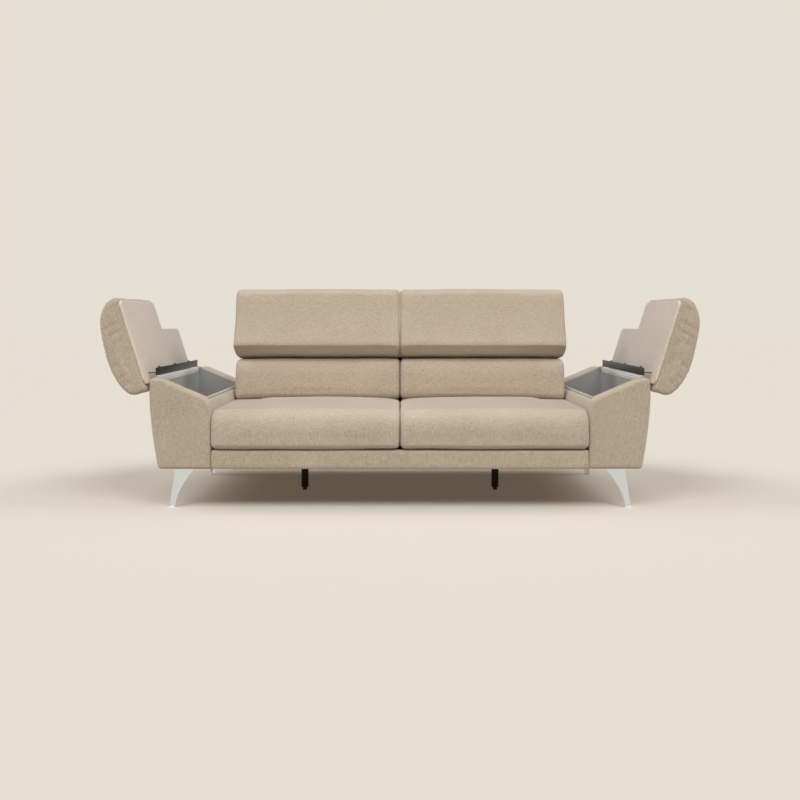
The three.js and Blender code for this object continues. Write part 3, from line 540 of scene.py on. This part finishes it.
# Piping or welt: a round cord along a line
def cordAlong(name, line, radius, finish, closed=True, sides=4):
    curve = bpy.data.curves.new(name, "CURVE")
    curve.dimensions = "3D"
    curve.bevel_depth = radius
    curve.bevel_resolution = sides - 2
    curve.use_fill_caps = not closed
    spline = curve.splines.new("POLY")
    spline.points.add(len(line) - 1)
    for point, place in zip(spline.points, line):
        point.co = (*place, 1)
    spline.use_cyclic_u = closed
    drawn = bpy.data.objects.new(name + "Line", curve)
    bpy.context.collection.objects.link(drawn)
    graph = bpy.context.evaluated_depsgraph_get()
    data = bpy.data.meshes.new_from_object(drawn.evaluated_get(graph))
    bpy.data.objects.remove(drawn)
    mesh = bmesh.new()
    mesh.from_mesh(data)
    bmesh.ops.remove_doubles(mesh, verts=mesh.verts, dist=mergePlan["cord"])
    bmesh.ops.recalc_face_normals(mesh, faces=mesh.faces)
    return piece(name, mesh, finish)


# An end panel's seam at each end of a cushion, with the thread's line along it
def endSeams(item, name, body, inset):
    reaches = corners(item)[:, 0]
    for label, reach in (("Low", reaches.min() + inset), ("High", reaches.max() - inset)):
        seamed(item, (reach, 0, 0), (1, 0, 0), endSeam)
        line = sliceLine(item, (reach, 0, 0), (1, 0, 0), endSeam["spacing"])
        settle(cordAlong(name + label, line, endSeam["cord"], threadCloth), body, "fabric")


# Seat cushions: a crowned pad with a waterfall front, welted round its underside
seatPlan = {
    "voxel": 0.008, "soften": 4, "tuck": 0.004, "cap": 0.0035, "stretch": 12, "bend": 1.5,
    "inner": 0.0003, "outer": 0.7894, "rise": 0.006, "blunt": (0.019, 0.034),
    "roll": (0.096, 0.1, 2.6),  # drop, reach and power of the waterfall front
    "end": (0.016, 0.0, 0.11),  # up, down and reach of the fuller outer end
    "heights": [(0.5, 0.46), (0.56, 0.442), (0.6, 0.4335), (0.635, 0.4255), (0.668, 0.4195), (0.79, 0.4165)],
    "ease": 0.0012, "seed": 1.3, "uneven": 0.0022, "unevenSize": 0.21,
    "inset": 0.007, "welt": 0.003, "weltRise": 0.004,
}


def buildSeats():
    low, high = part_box("seat_cushion_right")
    right = piece("seatCushionRight", nodeCopy("seat_cushion_right"), cloth)
    low.x, high.x = seatPlan["inner"], seatPlan["outer"]
    filled(right, seatPlan, low, high + Vector((0, 0, seatPlan["rise"])))
    fullEnd(right, *seatPlan["end"])
    heldUnder(right, seatPlan["heights"], seatPlan["ease"])
    for side, item in bothSides(right):
        uneven(item, seatPlan, sides[side])
        settle(item, "sofa", "fabric", f"seat_cushion_{side}")
        endSeams(item, "seatEnd" + side.title(), "sofa", seatPlan["inset"])
        line = sliceLine(item, (0, 0, low.z + seatPlan["weltRise"]), (0, 0, 1), endSeam["spacing"])
        welt = cordAlong("seatWelt" + side.title(), line, seatPlan["welt"], threadCloth)
        settle(welt, "sofa", "fabric")


# Lumbar cushions: a low upright pad in front of the back board
lumbarPlan = {
    "voxel": 0.007, "soften": 4, "tuck": 0.004, "cap": 0.001, "stretch": 12, "bend": 1.5,
    "inner": 0.0003, "outer": 0.786, "rise": 0.003, "sink": 0.011, "back": 0.006, "blunt": (0.024, 0.014),
    "roll": (0.06, 0.045, 2.0), "lean": 0.026, "end": (0.0, 0.006, 0.1),
    "seed": 4.1, "uneven": 0.0018, "unevenSize": 0.17, "inset": 0.007,
}


def buildLumbars():
    low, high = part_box("lumbar_cushion_right")
    right = piece("lumbarCushionRight", nodeCopy("lumbar_cushion_right"), cloth)
    low.x, high.x = lumbarPlan["inner"], lumbarPlan["outer"]
    filled(right, lumbarPlan, low + Vector((0, lumbarPlan["back"], -lumbarPlan["sink"])),
           high + Vector((0, 0, lumbarPlan["rise"])))
    leant(right, lumbarPlan["lean"])
    fullEnd(right, *lumbarPlan["end"])
    for side, item in bothSides(right):
        uneven(item, lumbarPlan, sides[side])
        settle(item, "sofa", "fabric", f"lumbar_cushion_{side}")
        endSeams(item, "lumbarEnd" + side.title(), "sofa", lumbarPlan["inset"])


# Headrests: a deep roll along the foot, a flat face above it and a soft crown
headPlan = {
    "voxel": 0.007, "soften": 5, "tuck": 0.003, "cap": 0.0035, "flat": (0, 1, 0), "stretch": 14, "bend": 1.5,
    "inner": 0.0001, "front": 0.004, "drop": 0.002, "rise": 0.002, "blunt": (0.023, 0.006),
    "crease": (0.674, 0.75, 1.6),  # level, slope and front share of the cut under the roll
    "seed": 8.4, "uneven": 0.002, "unevenSize": 0.19, "inset": 0.007,
}


def buildHeadrests():
    low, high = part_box("headrest_cushion_right")
    right = piece("headrestCushionRight", nodeCopy("headrest_cushion_right"), cloth)
    low.x = headPlan["inner"]
    filled(right, headPlan, low - Vector((0, headPlan["front"], headPlan["drop"])),
           high + Vector((0, 0, headPlan["rise"])))
    undercut(right, *headPlan["crease"])
    for side, item in bothSides(right):
        body = "headrest_" + side
        uneven(item, headPlan, sides[side])
        settle(item, body, "fabric", f"headrest_cushion_{side}")
        endSeams(item, "headrestEnd" + side.title(), body, headPlan["inset"])
        panel = piece("headrestPanel" + side.title(), nodeCopy(f"headrest_board_{side}"), liningCloth)
        shaped(panel, ("BEVEL", panelEdge))
        settle(panel, body, "lining_fabric", f"headrest_board_{side}")


# Arms: one cover drawn over the arm's boards, open over the storage bin
armPlan = {"voxel": 0.005, "soften": 6, "seed": 2.2, "uneven": 0.0012, "unevenSize": 0.16,
           "walls": ("front", "rear", "inner", "outer", "base")}


def buildArms():
    walls = armPlan["walls"]
    right = piece("armCoverRight", nodeCopy(*[f"arm_{wall}_right" for wall in walls]), cloth)
    for side, item in bothSides(remeshed(right, armPlan)):
        uneven(item, armPlan, sides[side])
        settle(item, "sofa", "fabric", *[f"arm_{wall}_{side}" for wall in walls])


# Lids: a loaf-shaped pad on a covered board, narrower beside the back cushions
lidPlan = {
    "voxel": 0.006, "soften": 4, "tuck": 0.004, "cap": 0.006, "stretch": 14, "bend": 0.8,
    "flat": (-0.954, 0, 0.299), "ends": 0.004, "seed": 6.7, "uneven": 0.002, "unevenSize": 0.12,
    "inset": 0.013, "piping": 0.0027, "seam": dict(endSeam, depth=0.002, pucker=0.0006, spacing=0.01),
}
# Folds on the lid's end panel: (X, Z) of both ends, then width and depth
lidFolds = [
    ((1.228, 0.752), (1.160, 0.792), 0.0085, 0.0026), ((1.222, 0.716), (1.142, 0.762), 0.0085, 0.0029),
    ((1.208, 0.680), (1.136, 0.716), 0.0090, 0.0016), ((1.216, 0.822), (1.182, 0.856), 0.0080, 0.0013),
    ((1.202, 0.586), (1.160, 0.612), 0.0075, 0.0016), ((1.176, 0.540), (1.140, 0.572), 0.0075, 0.0018),
    ((1.146, 0.506), (1.112, 0.548), 0.0070, 0.0018), ((1.100, 0.492), (1.086, 0.540), 0.0070, 0.0018),
    ((1.062, 0.500), (1.066, 0.552), 0.0070, 0.0016), ((1.130, 0.640), (1.098, 0.690), 0.0120, 0.0011),
]


def buildLids():
    low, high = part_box("lid_cushion_right")
    right = piece("lidCushionRight", nodeCopy("lid_cushion_right"), cloth)
    longer = Vector((0, lidPlan["ends"], 0))
    filled(right, lidPlan, low - longer, high + longer)
    folds = [((x0, low.y, z0), (x1, low.y, z1), width, depth) for (x0, z0), (x1, z1), width, depth in lidFolds]
    folded(right, folds, (0, -1, 0))
    for side, item in bothSides(right):
        body = "lid_" + side
        uneven(item, lidPlan, sides[side])
        for label, depth in (("Front", low.y + lidPlan["inset"]), ("Rear", high.y - lidPlan["inset"])):
            seamed(item, (0, depth, 0), (0, 1, 0), lidPlan["seam"])
            line = sliceLine(item, (0, depth, 0), (0, 1, 0), lidPlan["seam"]["spacing"])
            piping = cordAlong("lidPiping" + label + side.title(), line, lidPlan["piping"], threadCloth)
            settle(piping, body, "fabric")
        settle(item, body, "fabric", f"lid_cushion_{side}")
        under = piece("lidUnderside" + side.title(), coveredBoard(f"lid_board_{side}"), liningCloth)
        settle(under, body, "lining_fabric", f"lid_board_{side}")


# The lid's board under its cloth, a little larger, its corners rounded and every edge softened
boardPlan = {
    "grow": 0.0045, "growFar": 0.008, "farBand": 0.05, "thin": 0.016,
    "corner": 0.03, "cornerSteps": 6, "edge": 0.0055, "edgeSteps": 3,
    "same": 0.02, "sharp": 1, "steep": 0.5,  # angles in radians, and the cosine that parts flat from steep
}


def coveredBoard(name):
    mesh = nodeCopy(name)
    plan = boardPlan
    bmesh.ops.dissolve_limit(mesh, angle_limit=plan["same"], verts=mesh.verts, edges=mesh.edges)
    mesh.normal_update()
    flat = max(mesh.faces, key=lambda face: face.calc_area()).normal.copy()
    top = max(vert.co.z for vert in mesh.verts)
    for vert in mesh.verts:
        ways = {tuple(round(v, 3) for v in face.normal) for face in vert.link_faces
                if abs(face.normal.dot(flat)) < plan["steep"]}
        far = vert.co.z > top - plan["farBand"]
        for way in ways:
            vert.co += Vector(way) * plan["growFar" if far and way[2] > plan["steep"] else "grow"]

    def sharpEdges():
        return [e for e in mesh.edges if e.is_convex and e.calc_face_angle(0) > plan["sharp"]]

    thin = [e for e in sharpEdges() if e.calc_length() < plan["thin"]]
    bmesh.ops.bevel(mesh, geom=thin, offset=plan["corner"], affect="EDGES", segments=plan["cornerSteps"],
                    profile=0.5, material=-1)
    bmesh.ops.bevel(mesh, geom=sharpEdges(), offset=plan["edge"], affect="EDGES", segments=plan["edgeSteps"],
                    profile=0.5, material=-1)
    return mesh


# The cloth roll round the bin's mouth, open toward the hinge rail
rimPlan = {"radius": 0.0058, "inset": 0.0045, "slope": 23.1, "corner": 0.012, "sink": 0.0015, "railEnd": 0.008}


def buildRims():
    low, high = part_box("storage_bin_right")
    fall = math.tan(math.radians(rimPlan["slope"]))

    def rimAt(x, y):
        return (x, y, high.z - (high.x - x) * fall - rimPlan["sink"])

    inner, outer = low.x + rimPlan["inset"], high.x - rimPlan["railEnd"]
    near, far = low.y + rimPlan["inset"], high.y - rimPlan["inset"]
    line = softLine([rimAt(outer, near), rimAt(inner, near), rimAt(inner, far), rimAt(outer, far)],
                    rimPlan["corner"])
    right = cordAlong("binRimRight", line, rimPlan["radius"], cloth, False, 6)
    for side, item in bothSides(right):
        settle(item, "sofa", "fabric")


# The padded cover of the front rail
frontPlan = {"voxel": 0.006, "soften": 6, "seed": 3.4, "uneven": 0.0014, "unevenSize": 0.13}


def buildFrontRail():
    low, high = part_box("front_rail")
    item = piece("frontRailCover", nodeCopy("front_rail"), cloth)
    fitRoom(remeshed(item, frontPlan), low, high)
    uneven(item, frontPlan)
    settle(item, "sofa", "fabric", "front_rail")


# Painted shade: a black strip of cloth above the back's board puts a dark sheet in the slit under the
# headrests, where only shade falls
shadeStripPlan = {"reach": 0.755, "front": 0.2135, "thick": 0.0016, "low": 0.586, "high": 0.6135, "steps": (120, 4)}


def buildShadeStrip():
    mesh = bmesh.new()
    plan = shadeStripPlan
    along, up = plan["steps"]
    bmesh.ops.create_grid(mesh, x_segments=along, y_segments=up, size=0.5)
    bmesh.ops.scale(mesh, vec=(2 * plan["reach"], plan["high"] - plan["low"], 1), verts=mesh.verts)
    bmesh.ops.rotate(mesh, matrix=Matrix.Rotation(math.radians(90), 3, "X"), verts=mesh.verts)
    bmesh.ops.translate(mesh, vec=(0, plan["front"], (plan["low"] + plan["high"]) / 2), verts=mesh.verts)
    # the strip's dark dust cloth stands in for the shade in the slit under the headrests (painted shade)
    item = piece("backStrip", mesh, dustCloth)
    shaped(item, ("SOLIDIFY", {"thickness": plan["thick"], "offset": 0.0}))
    settle(item, "sofa", "dust_cloth")


# The outer back's cover with two upright seams and one below its cap, and a panel that closes each end
backPlan = {"voxel": 0.007, "soften": 6, "seed": 5.2, "uneven": 0.0014, "unevenSize": 0.22, "split": 0.26,
            "end": ((0.777, 0.229, 0.42), (0.7875, 0.4925, 0.5775))}


def buildBack():
    names = ("back_rear_panel", "back_top_cap")
    low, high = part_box("back_rear_panel")
    item = piece("outerBackCover", nodeCopy(*names), cloth)
    uneven(remeshed(item, backPlan), backPlan)
    for reach in (-backPlan["split"], backPlan["split"]):
        seamed(item, (reach, 0, 0), (1, 0, 0), endSeam)
    seamed(item, (0, 0, high.z), (0, 0, 1), endSeam)
    settle(item, "sofa", "fabric", *names)
    low, high = (Vector(corner) for corner in backPlan["end"])
    middle = (low + high) / 2
    mesh = bmesh.new()
    bmesh.ops.create_cube(mesh, size=1.0, matrix=Matrix.Translation(middle))
    bmesh.ops.scale(mesh, vec=high - low, space=Matrix.Translation(-middle), verts=mesh.verts)
    right = shaped(piece("backEndRight", mesh, cloth), ("BEVEL", panelEdge))
    for side, item in bothSides(right):
        settle(item, "sofa", "fabric")


# Metal pieces with their edges eased, so that each edge catches the light: finish, slot and edge width
metalPlan = {
    "leg": (brightSteel, "bright_steel", 0.0022), "centre_post": (blackSteel, "black_steel", 0.0012),
    "lid_leaf": (blackSteel, "black_steel", 0.0007), "hinge_rail": (satinAluminium, "hinge_aluminium", 0.0008),
}
easePlan = {"same": 0.01, "sharp": 0.6, "steps": 2}


def easedMetal():
    for name in nodes:
        for start, (finish, slot, width) in metalPlan.items():
            if not name.startswith(start):
                continue
            mesh = nodeCopy(name)
            bmesh.ops.dissolve_limit(mesh, angle_limit=easePlan["same"], verts=mesh.verts, edges=mesh.edges)
            words = name.split("_")
            item = piece("eased" + "".join(word.title() for word in words), mesh, finish)
            shaped(item, ("BEVEL", {"width": width, "segments": easePlan["steps"], "limit_method": "ANGLE",
                                    "angle_limit": easePlan["sharp"], "harden_normals": True}))
            side = words[-1]
            settle(item, "lid_" + side if start == "lid_leaf" else "sofa", slot, name)


# Three ribs along the hinge rail's face
ribPlan = {"radius": 0.0013, "levels": (0.2, 0.5, 0.8), "inset": 0.012, "spacing": 0.1}


def buildRibs():
    low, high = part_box("hinge_rail_right")
    near, far = low.y + ribPlan["inset"], high.y - ribPlan["inset"]
    for index, level in enumerate(ribPlan["levels"]):
        z = low.z + (high.z - low.z) * level
        end = (low.x, far, z)
        line = evenly([(low.x, near, z), end], ribPlan["spacing"]) + [Vector(end)]
        right = cordAlong(f"railRib{index}Right", line, ribPlan["radius"], satinAluminium, False)
        for side, item in bothSides(right):
            settle(item, "sofa", "hinge_aluminium")


buildSeats()
print("seats done")
buildLumbars()
print("lumbar cushions done")
buildHeadrests()
print("headrests done")
buildArms()
print("arms done")
buildLids()
print("lids done")
buildRims()
buildFrontRail()
buildShadeStrip()
buildBack()
print("rims, front rail and outer back done")
easedMetal()
buildRibs()
print("metal done")


# CAD pieces that keep their shape and take a finish
keptFinishes = {
    "storage_bin": binLining, "adjuster_foot": blackPlastic, "seat_springs": springSteel,
    "ratchet": blackSteel, "seat_rail": timber, "back_rail": timber, "back_board": timber,
    "dust_cover": dustCloth,
}
for name, node in nodes.items():
    for start, finish in keptFinishes.items():
        if name.startswith(start):
            node.data.materials.clear()
            node.data.materials.append(finish)
print("finishes given")


# Stage: a pale floor under even studio light, before a wall of the same tone. The floor looks paler than the
# light it gives back, and glows a little so that its shadows stay soft
stagePlan = {
    "floor": (212, 208, 199), "mottle": 0.99, "stops": (0.3, 0.7), "grain": (60, 60, 60), "size": 40.0,
    "rough": 0.95, "glow": 0.13, "glowColour": (243, 210, 178), "bounce": (196, 190, 180),
    "wall": (230, 223, 211), "sky": (255, 254, 252), "skyLevel": 0.03,
}
floorFinish = Finish("floorFinish", Roughness=stagePlan["rough"], Specular_IOR_Level=0.0,
                     Emission_Color=linear(*stagePlan["glowColour"]), Emission_Strength=stagePlan["glow"])
paperGrain = floorFinish.make("TexNoise", "Fac", Vector=floorFinish.place(stagePlan["grain"]), Scale=1.0,
                              Detail=2.0)
pale = linear(*stagePlan["floor"])
dim = tuple(v * stagePlan["mottle"] for v in pale[:3]) + (1,)
paper = floorFinish.make("ValToRGB", stops=list(zip(stagePlan["stops"], (dim, pale))), Fac=paperGrain)
floorFinish.feed(Base_Color=paper)


# The eye and the gloss on metal see one shader, and all other light meets the other one
def seenAs(tree, shown, hidden, out):
    path = tree.nodes.new("ShaderNodeLightPath")
    either = tree.nodes.new("ShaderNodeMath")
    either.operation = "MAXIMUM"
    tree.links.new(path.outputs["Is Camera Ray"], either.inputs[0])
    tree.links.new(path.outputs["Is Glossy Ray"], either.inputs[1])
    choice = tree.nodes.new("ShaderNodeMixShader")
    tree.links.new(either.outputs[0], choice.inputs[0])
    tree.links.new(hidden.outputs[0], choice.inputs[1])
    tree.links.new(shown.outputs[0], choice.inputs[2])
    tree.links.new(choice.outputs[0], out.inputs[0])


bounce = floorFinish.tree.nodes.new("ShaderNodeBsdfDiffuse")
bounce.inputs[0].default_value = linear(*stagePlan["bounce"])
seenAs(floorFinish.tree, floorFinish.shader, bounce, floorFinish.tree.nodes["Material Output"])
stageMesh = bmesh.new()
bmesh.ops.create_grid(stageMesh, x_segments=1, y_segments=1, size=stagePlan["size"])
stage = piece("stage", stageMesh, floorFinish.material, False)

# Suns: a low pair across the sofa, a high pair from the front and a weak one behind, soft as large lamps
sunPlan = {
    "acrossRight": {"level": 0.725, "from": (1.2, 0.0, 1), "spread": 30},
    "acrossLeft": {"level": 0.725, "from": (-1.2, 0.0, 1), "spread": 30},
    "frontRight": {"level": 1.27, "from": (0.5, -0.8, 1.1), "spread": 30},
    "frontLeft": {"level": 1.27, "from": (-0.5, -0.8, 1.1), "spread": 30},
    "rearRight": {"level": 0.17, "from": (0.35, 0.6, 1.4), "spread": 40},
    "rearLeft": {"level": 0.17, "from": (-0.35, 0.6, 1.4), "spread": 40},
}
for name, sun in sunPlan.items():
    data = bpy.data.lights.new(name, "SUN")
    data.energy = sun["level"]
    data.angle = math.radians(sun["spread"])
    item = bpy.data.objects.new(name, data)
    item.rotation_euler = (-Vector(sun["from"])).to_track_quat("-Z", "Y").to_euler()
    bpy.context.collection.objects.link(item)

# Studio: the eye sees the wall's colour, and the sofa gets only a faint sky
studio = bpy.data.worlds.new("studio")
bpy.context.scene.world = studio
studio.use_nodes = True
tree = studio.node_tree
sky = tree.nodes["Background"]
sky.inputs[0].default_value = linear(*stagePlan["sky"])
sky.inputs[1].default_value = stagePlan["skyLevel"]
wall = tree.nodes.new("ShaderNodeBackground")
wall.inputs[0].default_value = linear(*stagePlan["wall"])
seenAs(tree, wall, sky, tree.nodes["World Output"])
print("stage and suns set")
